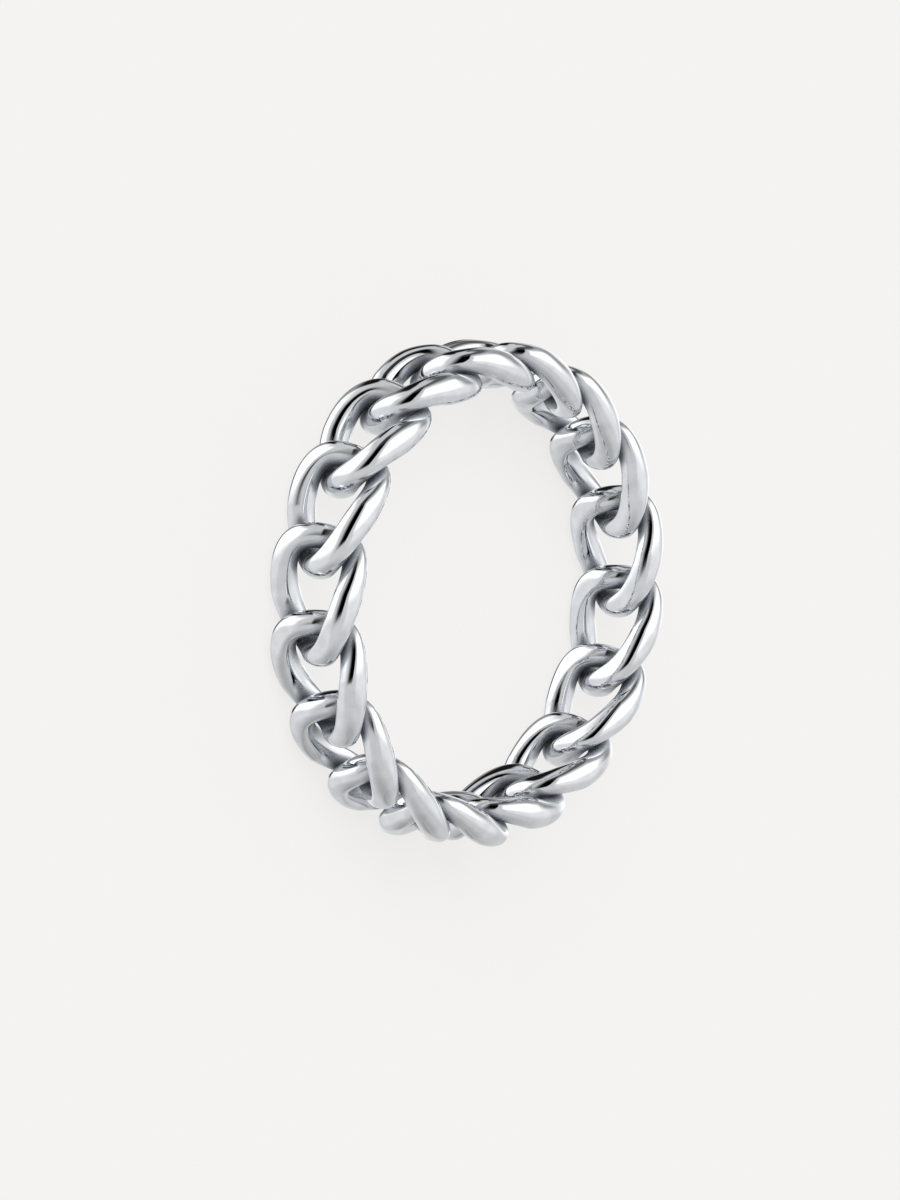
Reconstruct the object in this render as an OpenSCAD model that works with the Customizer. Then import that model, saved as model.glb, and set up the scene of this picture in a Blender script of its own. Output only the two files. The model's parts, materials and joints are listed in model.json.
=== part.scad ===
// Interlocking chain ring: a closed row of twisted oval links, each passing through
// the next, dressed to one bore and one outside diameter and polished, so that the
// flats have soft edges. It lies on its side: +Z is the finger axis and the band's
// lower edge is at Z = 0.

/* [Ring] */
// Diameter of the finger hole, to the dressed faces inside the links
bore_d = 17.3; // [16:0.1:20]
// Thickness of the band, from the inner faces to the outer ones
band_t = 2.02; // [1.95:0.01:2.1]

/* [Link] */
// Thickness of the link's metal through the band, before the faces are dressed
wire_h = 1.36; // [1.3:0.01:1.37]
// How much slimmer the metal is on its side towards the neighbour that it crosses
slim = 0.2; // [0.2:0.01:0.26]
// Width of the link's metal across the band
wire_w = 1.06; // [1:0.01:1.1]
// Height of the band along the finger, which is the width of one link
band_h = 4.54; // [4.4:0.01:4.7]
// Length by which neighbouring links overlap
overlap = 2.31; // [2.27:0.01:2.35]
// How far the twist lifts and sinks the metal where two links cross
twist = 0.525; // [0.515:0.005:0.55]
// Angle by which the metal leans over where two links cross
lean = 25; // [15:1:28]
// Fullness of the link's oval: 0 is an ellipse, more is squarer at the shoulders
shoulder = 0.26; // [0.22:0.01:0.3]

/* [Hidden] */
NODES = ["link_01", "link_02", "link_03", "link_04", "link_05", "link_06",
         "link_07", "link_08", "link_09", "link_10", "link_11", "link_12",
         "link_13", "link_14", "link_15", "link_16", "link_17"];

link_n = len(NODES);
bore_r = bore_d / 2;
outer_r = bore_r + band_t;
// The metal runs a little inside the middle of the band, so the inner faces are
// the wider ones.
mean_r = bore_r + 0.485 * band_t;
pitch = 2 * PI * mean_r / link_n;
half_l = (pitch + overlap - wire_w) / 2;
half_h = (band_h - wire_w) / 2;
// Softness of the edges of the dressed faces, inside and outside.
soft_in = 0.155;
soft_out = 0.105;
// Cross-sections around one link, and corners of a cross-section.
rings = 32;
corners = 14;

// Angle around the finger of the metal's centre, at t degrees around a link.
function place(t) =
    half_l * cos(t) * (1 + shoulder * sin(t) * sin(t)) * 180 / PI / mean_r;

// Distance of the metal's centre from the finger's axis: twice around, the twist
// lifts it over one neighbour and sinks it under the other.
function reach(t) = mean_r + twist * sin(2 * t);

function centre(t) =
    [reach(t) * cos(place(t)), reach(t) * sin(place(t)), half_h * sin(t)];

function unit(v) = v / norm(v);

function soft(x) = x > 30 ? x : ln(1 + exp(x));

// Half of the leaning metal's thickness through the band, and where the inner and
// outer faces would lie without soft edges.
half_up = norm([wire_h * cos(lean), wire_w * sin(lean)]) / 2;
face_in = bore_r + soft_in * ln(1 - exp((mean_r - twist - half_up - bore_r) / soft_in));
face_out = outer_r - soft_out * ln(1 - exp((outer_r - mean_r - twist - half_up) / soft_out));

// A point of the link's skin, dressed to the two faces of the band.
function dressed(p) =
    let (q = norm([p[0], p[1]]),
         b = face_in + soft_in * soft((q - face_in) / soft_in),
         k = (face_out - soft_out * soft((face_out - b) / soft_out)) / q)
    [p[0] * k, p[1] * k, p[2]];

// The link's cross-section at t: an oval that leans one way where the link is
// lifted and the other way where it is sunk, slimmer towards the neighbour.
function section(t) =
    let (c = centre(t),
         dir = unit(centre(t + 0.01) - centre(t - 0.01)),
         up = [cos(place(t)), sin(place(t)), 0],
         n = unit(up - (up * dir) * dir),
         side = cross(dir, n),
         l = -lean * sin(2 * t),
         tall = cos(l) * n + sin(l) * side,
         wide = cos(l) * side - sin(l) * n)
    [for (i = [0 : corners - 1])
        let (a = (i + 0.5) * 360 / corners,
             h = wire_h / 2 - slim * max(0, cos(a) > 0 ? -sin(2 * t) : sin(2 * t)))
        dressed(c + h * cos(a) * tall + wire_w / 2 * sin(a) * wide)];

// One closed link around the middle of the band, facing +X.
module closed_link() {
    m = corners;
    points = [for (j = [0 : rings - 1]) each section(j * 360 / rings)];
    polyhedron(points, [
        for (j = [0 : rings - 1], i = [0 : m - 1])
            let (p = j * m + i, q = j * m + (i + 1) % m,
                 r = (j + 1) % rings * m + i, s = (j + 1) % rings * m + (i + 1) % m)
            each [[p, r, q], [q, r, s]]]);
}

// The link at place i of the row, counted counterclockwise from +X.
module link_at(i) {
    color("silver") rotate([0, 0, i * 360 / link_n]) translate([0, 0, band_h / 2]) closed_link();
}

module link_01() { link_at(0); }
module link_02() { link_at(1); }
module link_03() { link_at(2); }
module link_04() { link_at(3); }
module link_05() { link_at(4); }
module link_06() { link_at(5); }
module link_07() { link_at(6); }
module link_08() { link_at(7); }
module link_09() { link_at(8); }
module link_10() { link_at(9); }
module link_11() { link_at(10); }
module link_12() { link_at(11); }
module link_13() { link_at(12); }
module link_14() { link_at(13); }
module link_15() { link_at(14); }
module link_16() { link_at(15); }
module link_17() { link_at(16); }

link_01();
link_02();
link_03();
link_04();
link_05();
link_06();
link_07();
link_08();
link_09();
link_10();
link_11();
link_12();
link_13();
link_14();
link_15();
link_16();
link_17();
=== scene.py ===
import json
from math import atan2, cos, exp, log, pi, radians, sin, tau

import bmesh
import bpy
from mathutils import Matrix, Vector
from mathutils.bvhtree import BVHTree


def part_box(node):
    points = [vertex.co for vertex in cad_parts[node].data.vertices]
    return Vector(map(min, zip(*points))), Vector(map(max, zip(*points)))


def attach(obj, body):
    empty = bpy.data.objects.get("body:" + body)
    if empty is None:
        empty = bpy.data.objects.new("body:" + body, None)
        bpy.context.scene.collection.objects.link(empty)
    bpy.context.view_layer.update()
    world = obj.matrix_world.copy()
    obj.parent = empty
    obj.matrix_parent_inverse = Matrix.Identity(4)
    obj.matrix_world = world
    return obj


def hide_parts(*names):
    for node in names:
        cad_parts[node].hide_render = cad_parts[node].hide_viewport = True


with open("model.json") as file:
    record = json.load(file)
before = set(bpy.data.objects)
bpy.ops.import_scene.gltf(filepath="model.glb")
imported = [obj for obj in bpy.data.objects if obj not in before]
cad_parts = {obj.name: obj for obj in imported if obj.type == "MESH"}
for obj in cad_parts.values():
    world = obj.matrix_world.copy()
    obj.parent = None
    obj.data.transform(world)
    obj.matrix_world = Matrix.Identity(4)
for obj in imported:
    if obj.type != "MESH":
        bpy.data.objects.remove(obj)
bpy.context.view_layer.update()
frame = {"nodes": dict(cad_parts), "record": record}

# The links. The ring is a closed row of oval links of silver. Each is twisted to pass
# over one neighbour and under the other, and leans over and is slimmer where it crosses
# them. The closed row is then dressed level inside and out, and polished.
mm = 0.001
link_names = sorted(name for name in frame["nodes"] if name.startswith("link_"))
link_low, link_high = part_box("link_01")

# The finger hole, the band's thickness, and the band's height along the finger.
bore_r = frame["record"]["mounts"][0]["dims"]["r_mm"] * mm
band_t = 2.02 * mm
band_h = link_high.z - link_low.z

# The metal of a link through and across the band, and how much slimmer it is towards
# the neighbour that it crosses.
thick = 1.36 * mm
wide = 1.06 * mm
slim = 0.2 * mm

# How far neighbours overlap, how far the twist lifts and sinks the metal, how far it
# leans at a crossing, and how square the oval's shoulders are.
overlap = 2.31 * mm
twist = 0.525 * mm
lean = radians(25)
shoulder = 0.26

# How softly the polishing rounds the edges of the inner and outer faces.
soft_in = 0.155 * mm
soft_out = 0.105 * mm

# The metal runs at this share of the band's thickness, a little inside its middle.
metal_share = 0.485
outer_r = bore_r + band_t
mean_r = bore_r + metal_share * band_t
pitch = tau * mean_r / len(link_names)
half_l = (pitch + overlap - wide) / 2
half_h = (band_h - wide) / 2

# Where the two faces would lie without soft edges.
half_up = Vector((thick * cos(lean), wide * sin(lean))).length / 2
face_in = bore_r + soft_in * log(1 - exp((mean_r - twist - half_up - bore_r) / soft_in))
face_out = outer_r - soft_out * log(1 - exp((outer_r - mean_r - twist - half_up) / soft_out))


def place_on_finger(t):
    """Angle around the finger of the metal's centre, at angle t around the link."""
    return half_l * cos(t) * (1 + shoulder * sin(t) ** 2) / mean_r


def metal_centre(t):
    """Centre of the link's metal at angle t, lifted and sunk by the twist."""
    a = place_on_finger(t)
    reach = mean_r + twist * sin(2 * t)
    return Vector((reach * cos(a), reach * sin(a), half_h * sin(t) + band_h / 2))


def soft_step(x):
    """Nought below nought and x above it, with a rounded corner between."""
    past_corner = 30
    return x if x > past_corner else log(1 + exp(x))


def dressed(p):
    """The point once both faces of the band are dressed level, with polished edges."""
    q = Vector((p.x, p.y)).length
    r = face_in + soft_in * soft_step((q - face_in) / soft_in)
    r = face_out - soft_out * soft_step((face_out - r) / soft_out)
    return Vector((p.x * r / q, p.y * r / q, p.z))


def link_skin(t, turn):
    """Point of the link's skin at angle t around the link and turn around its metal."""
    c = metal_centre(t)
    a = place_on_finger(t)
    up = Vector((cos(a), sin(a), 0))
    small = 1e-4
    run = (metal_centre(t + small) - metal_centre(t - small)).normalized()
    n = (up - up.dot(run) * run).normalized()
    side = run.cross(n)
    over = -lean * sin(2 * t)
    tall = cos(over) * n + sin(over) * side
    flat = cos(over) * side - sin(over) * n
    facing = -sin(2 * t) if cos(turn) > 0 else sin(2 * t)
    h = thick / 2 - slim * max(0, facing)
    return dressed(c + h * cos(turn) * tall + wide / 2 * sin(turn) * flat)


def measure_crevices(bm):
    """Mark how deep in a crevice each spot lies, which sets the painted shade there: rays
    fan out from it, and count by how near they meet the link itself or a neighbour."""
    depth = bm.verts.layers.float.new("crevice")
    metal = BVHTree.FromBMesh(bm)
    neighbours = [Matrix.Rotation(k * tau / len(link_names), 3, "Z") for k in (-1, 0, 1)]
    rays = 24
    near = 1.6 * mm
    off_skin = 0.01 * mm
    passes = 3
    golden_turn = pi * (3 - 5 ** 0.5)
    fan = []
    for k in range(rays):
        r = ((k + 0.5) / rays) ** 0.5
        a = k * golden_turn
        fan.append(Vector((r * cos(a), r * sin(a), (1 - r * r) ** 0.5)))
    for v in bm.verts:
        stand = v.normal.to_track_quat("Z", "Y").to_matrix()
        start = v.co + v.normal * off_skin
        met = 0
        for ray in fan:
            aim = stand @ ray
            hits = [metal.ray_cast(m @ start, m @ aim, near)[3] for m in neighbours]
            hits = [d for d in hits if d is not None]
            if hits:
                met += 1 - min(hits) / near
        v[depth] = met / rays
    # In each pass, a spot takes the mean of itself and those beside it.
    for _ in range(passes):
        even = []
        for v in bm.verts:
            beside = sum(e.other_vert(v)[depth] for e in v.link_edges)
            even.append((v[depth] + beside) / (1 + len(v.link_edges)))
        for v, x in zip(bm.verts, even):
            v[depth] = x


def shaped_link():
    """One link: a ring spun from a circle, then bent and dressed to the link's shape."""
    stations, around = 216, 84
    blank_r, blank_metal_r = 1, 0.2
    bm = bmesh.new()
    section = bmesh.ops.create_circle(bm, segments=around, radius=blank_metal_r)["verts"]
    upright = Matrix.Rotation(pi / 2, 3, "X")
    bmesh.ops.rotate(bm, verts=section, cent=(0, 0, 0), matrix=upright)
    bmesh.ops.translate(bm, verts=section, vec=(blank_r, 0, 0))
    bmesh.ops.spin(bm, geom=bm.verts[:] + bm.edges[:], cent=(0, 0, 0), axis=(0, 0, 1),
                   angle=tau, steps=stations, use_merge=True)
    for v in bm.verts:
        t = atan2(v.co.y, v.co.x)
        turn = atan2(v.co.z, Vector((v.co.x, v.co.y)).length - blank_r)
        v.co = link_skin(t, turn)
    bm.normal_update()
    bmesh.ops.recalc_face_normals(bm, faces=bm.faces[:])
    bm.normal_update()
    for f in bm.faces:
        f.smooth = True
    measure_crevices(bm)
    mesh = bpy.data.meshes.new("shaped_link")
    bm.to_mesh(mesh)
    bm.free()
    return mesh


def polished_silver():
    """Mirror-polished silver with faint smudges and hairlines, and duller crevices with
    painted shade.
    """
    mat = bpy.data.materials.new("polished_silver")
    mat.use_nodes = True
    nodes, joins = mat.node_tree.nodes, mat.node_tree.links
    skin = nodes["Principled BSDF"]
    skin.inputs["Metallic"].default_value = 1.0
    where = nodes.new("ShaderNodeTexCoord")

    def noise(scale, detail, rough=0.5, stretch=None):
        n = nodes.new("ShaderNodeTexNoise")
        n.inputs["Scale"].default_value = scale
        n.inputs["Detail"].default_value = detail
        n.inputs["Roughness"].default_value = rough
        source = where.outputs["Object"]
        if stretch:
            m = nodes.new("ShaderNodeMapping")
            m.inputs["Scale"].default_value = stretch
            joins.new(source, m.inputs["Vector"])
            source = m.outputs["Vector"]
        joins.new(source, n.inputs["Vector"])
        return n.outputs["Fac"]

    def remap(value, low, high, at_low, at_high):
        r = nodes.new("ShaderNodeMapRange")
        r.inputs["From Min"].default_value = low
        r.inputs["From Max"].default_value = high
        r.inputs["To Min"].default_value = at_low
        r.inputs["To Max"].default_value = at_high
        joins.new(value, r.inputs["Value"])
        return r.outputs["Result"]

    def add(a, b):
        m = nodes.new("ShaderNodeMath")
        m.operation = "ADD"
        joins.new(a, m.inputs[0])
        joins.new(b, m.inputs[1])
        return m.outputs["Value"]

    def mix(amount, a, b):
        m = nodes.new("ShaderNodeMix")
        m.data_type = "RGBA"
        joins.new(amount, m.inputs["Factor"])
        for name, colour in (("A", a), ("B", b)):
            if isinstance(colour, tuple):
                m.inputs[name].default_value = colour
            else:
                joins.new(colour, m.inputs[name])
        return m.outputs["Result"]

    # Smudges are about 0.6 mm across. Hairlines are much longer along the finger.
    smudge = noise(1600, 4)
    hairline = noise(1500, 2, 0.6, (6, 6, 0.5))
    crevice = nodes.new("ShaderNodeAttribute")
    crevice.attribute_name = "crevice"
    depth = crevice.outputs["Fac"]

    # A smudge is a little paler than clean silver. Deep in a crevice the colour is a painted
    # slate-grey shade, standing in for the shade that the neighbours cast there.
    clean = (0.735, 0.753, 0.783, 1)
    smudged = (0.825, 0.843, 0.865, 1)
    painted_crevice_shade = (0.40, 0.42, 0.455, 1)
    bright = mix(remap(smudge, 0.35, 0.65, 0, 1), clean, smudged)
    colour = mix(remap(depth, 0.10, 0.55, 0, 1), bright, painted_crevice_shade)
    joins.new(colour, skin.inputs["Base Color"])

    # Smudges and hairlines take off some of the gloss, and crevices lose most of it.
    haze = add(remap(smudge, 0.3, 0.7, 0.02, 0.055), remap(hairline, 0.55, 0.75, 0, 0.04))
    dull = remap(depth, 0.05, 0.32, 0, 0.48)
    joins.new(add(haze, dull), skin.inputs["Roughness"])
    return mat


silver = polished_silver()
master = shaped_link()
master.materials.append(silver)
step = tau / len(link_names)
for i, name in enumerate(link_names):
    mesh = master.copy()
    mesh.name = "silver_" + name
    mesh.transform(Matrix.Rotation(i * step, 4, "Z"))
    link = bpy.data.objects.new("silver_" + name, mesh)
    bpy.context.scene.collection.objects.link(link)
    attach(link, "root")
    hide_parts(name)

# The floor. The ring lies on a wide round sheet of pale matt paper, lit almost evenly.
# The paper is left out of reflections, so that the silver mirrors the studio all round.
paper_r, paper_corners = 1.2, 96
bm = bmesh.new()
bmesh.ops.create_circle(bm, cap_ends=True, segments=paper_corners, radius=paper_r)
paper_mesh = bpy.data.meshes.new("paper")
bm.to_mesh(paper_mesh)
bm.free()
paper = bpy.data.objects.new("paper", paper_mesh)
bpy.context.scene.collection.objects.link(paper)

matt = bpy.data.materials.new("matt_paper")
matt.use_nodes = True
nodes, joins = matt.node_tree.nodes, matt.node_tree.links
sheet = nodes["Principled BSDF"]
sheet.inputs["Roughness"].default_value = 1.0
sheet.inputs["Specular IOR Level"].default_value = 0.0
where = nodes.new("ShaderNodeTexCoord")

# Its fibres show as a faint mottling, about a millimetre across.
fibre = nodes.new("ShaderNodeTexNoise")
fibre.inputs["Scale"].default_value = 900
fibre.inputs["Detail"].default_value = 4
joins.new(where.outputs["Object"], fibre.inputs["Vector"])
tint = nodes.new("ShaderNodeMix")
tint.data_type = "RGBA"
tint.inputs["A"].default_value = (0.085, 0.084, 0.083, 1)
tint.inputs["B"].default_value = (0.091, 0.09, 0.089, 1)
joins.new(fibre.outputs["Fac"], tint.inputs["Factor"])
joins.new(tint.outputs["Result"], sheet.inputs["Base Color"])

# Most of the paper's paleness is a glow of its own, which keeps the shadow faint.
sheet.inputs["Emission Color"].default_value = (1.0, 0.991, 0.974, 1)
sheet.inputs["Emission Strength"].default_value = 0.784
paper_mesh.materials.append(matt)
paper.visible_glossy = False

# The camera. A long lens looks down on the ring from beside it, rolled so that the
# finger axis lies level in the picture.
ring_middle = Vector((0, 0, band_h / 2))
to_lens = Vector((0.13323, 0.74227, 0.65672)).normalized()
to_right = Vector((0.00031, -0.66266, 0.74892)).normalized()
to_top = to_lens.cross(to_right).normalized()
lens_away = 0.21692
cam_data = bpy.data.cameras.new("camera")
cam_data.sensor_width = 36
cam_data.lens = 154.18
cam_data.shift_x = -0.01863
cam_data.shift_y = -0.00609
cam_data.clip_start = 0.01
cam_data.clip_end = 10
cam = bpy.data.objects.new("camera", cam_data)
bpy.context.scene.collection.objects.link(cam)
turned = Matrix((to_right, to_top, to_lens)).transposed().to_4x4()
cam.matrix_world = Matrix.Translation(ring_middle + to_lens * lens_away) @ turned
bpy.context.scene.camera = cam

# The studio. Large soft boxes stand to both sides of the ring, with pale and dark cards
# below and behind it, and the room above the lens is dark. All are far away, so they
# are made as the world's light, by bearing and height.
world = bpy.data.worlds.new("studio")
bpy.context.scene.world = world
world.use_nodes = True
nodes, joins = world.node_tree.nodes, world.node_tree.links
nodes.clear()
look = nodes.new("ShaderNodeTexCoord")


def along(axis):
    d = nodes.new("ShaderNodeVectorMath")
    d.operation = "DOT_PRODUCT"
    d.inputs[1].default_value = axis
    joins.new(look.outputs["Generated"], d.inputs[0])
    return d.outputs["Value"]


def worked_out(operation, *values):
    m = nodes.new("ShaderNodeMath")
    m.operation = operation
    for socket, value in zip(m.inputs, values):
        if isinstance(value, (int, float)):
            socket.default_value = value
        else:
            joins.new(value, socket)
    return m.outputs["Value"]


# Degrees to the right of the lens, and degrees above it, as seen from the ring.
in_degrees = 180 / pi
bearing = worked_out("ARCTAN2", along(to_right), along(to_lens))
bearing = worked_out("MULTIPLY", bearing, in_degrees)
height = worked_out("MULTIPLY", worked_out("ARCSINE", along(to_top)), in_degrees)


def fade(value, middle, soft):
    """Nought to one as the value passes the middle, or back where soft is negative."""
    r = nodes.new("ShaderNodeMapRange")
    r.interpolation_type = "SMOOTHSTEP"
    r.inputs["From Min"].default_value = middle - soft
    r.inputs["From Max"].default_value = middle + soft
    joins.new(value, r.inputs["Value"])
    return r.outputs["Result"]


def panel(behind, brightness, left, right, bottom, top, soft, slant=0.0):
    """A panel in front of what is behind it. soft is by how many degrees its left, right,
    lower and upper edges fade, and slant leans it over."""
    across = worked_out("MULTIPLY_ADD", height, -slant, bearing)
    cover = worked_out("MULTIPLY", fade(across, left, soft[0]), fade(across, right, -soft[1]))
    cover = worked_out("MULTIPLY", cover, fade(height, bottom, soft[2]))
    cover = worked_out("MULTIPLY", cover, fade(height, top, -soft[3]))
    mix = nodes.new("ShaderNodeMix")
    mix.data_type = "FLOAT"
    joins.new(cover, mix.inputs["Factor"])
    if isinstance(behind, float):
        mix.inputs["A"].default_value = behind
    else:
        joins.new(behind, mix.inputs["A"])
    mix.inputs["B"].default_value = brightness
    return mix.outputs["Result"]


# The pale walls, and the duller ground under the ring and behind it on both sides.
room = 0.70
room = panel(room, 0.48, -400, 400, -200, -57, (9, 9, 9, 20))
room = panel(room, 0.38, -400, -150, -90, -54, (9, 14, 9, 14))
room = panel(room, 0.53, 156, 400, -90, -43, (10, 9, 9, 13))

# A dark strip high up on the right, and grey walls behind at the right and the left.
room = panel(room, 0.12, 10, 400, 52, 73, (13, 8, 8, 6))
room = panel(room, 0.38, 98, 148, 14, 52, (12, 9, 6, 9))
room = panel(room, 0.34, -400, -136, 10, 60, (9, 9, 6, 8))

# Behind at the left, a white card and two narrow dark ones, which draw the dark
# outlines on the tops of the links.
room = panel(room, 0.92, -171, -148, -24, 12, (8, 6, 9, 5))
room = panel(room, 0.03, -168, -131, 6, 18, (6, 6, 3, 4))
room = panel(room, 0.01, -246, -215, 26, 70, (6, 6, 6, 6), 1.4)

# White cards low at both sides, with a small soft box behind at the right.
room = panel(room, 0.85, -129, -52, -38, 12, (13, 15, 10, 9))
room = panel(room, 1.2, 130, 172, -8, 30, (12, 4, 9, 8))
room = panel(room, 0.94, 45, 118, -22, 8, (8, 12, 11, 8))

# The two large soft boxes, at the left and the right.
room = panel(room, 1.5, -130, -54, 9, 58, (9, 12, 11, 10))
room = panel(room, 1.5, 38, 99, 1, 40, (5, 10, 8, 7), 0.2)

# The dark room above the lens, which makes the black bands along the links.
room = panel(room, 0.08, -29, 19, -5, 66, (15, 3, 10, 8), 0.38)
room = panel(room, 0.0, -15, 18, -5, 66, (5, 2, 6, 6), 0.38)
room = panel(room, 0.05, 4, 40, 50, 66, (9, 10, 7, 6))

# A dark card straight behind the ring.
room = panel(room, 0.14, 176, 400, 22, 60, (5, 9, 6, 8))

glow = nodes.new("ShaderNodeBackground")
joins.new(room, glow.inputs["Color"])
out = nodes.new("ShaderNodeOutputWorld")
joins.new(glow.outputs["Background"], out.inputs["Surface"])

# The lamp. A broad soft lamp, up and to the left in the picture, casts the ring's faint
# shadow on the paper. It makes no highlight of its own in the silver.
to_lamp = Vector((0.62, 0.5, 0.66))
lamp = bpy.data.lights.new("soft_lamp", "SUN")
lamp.energy = 3.2
lamp.angle = radians(45)
shine = bpy.data.objects.new("soft_lamp", lamp)
bpy.context.scene.collection.objects.link(shine)
shine.matrix_world = to_lamp.to_track_quat("Z", "Y").to_matrix().to_4x4()
shine.visible_glossy = False

bpy.context.scene.view_settings.view_transform = "Standard"
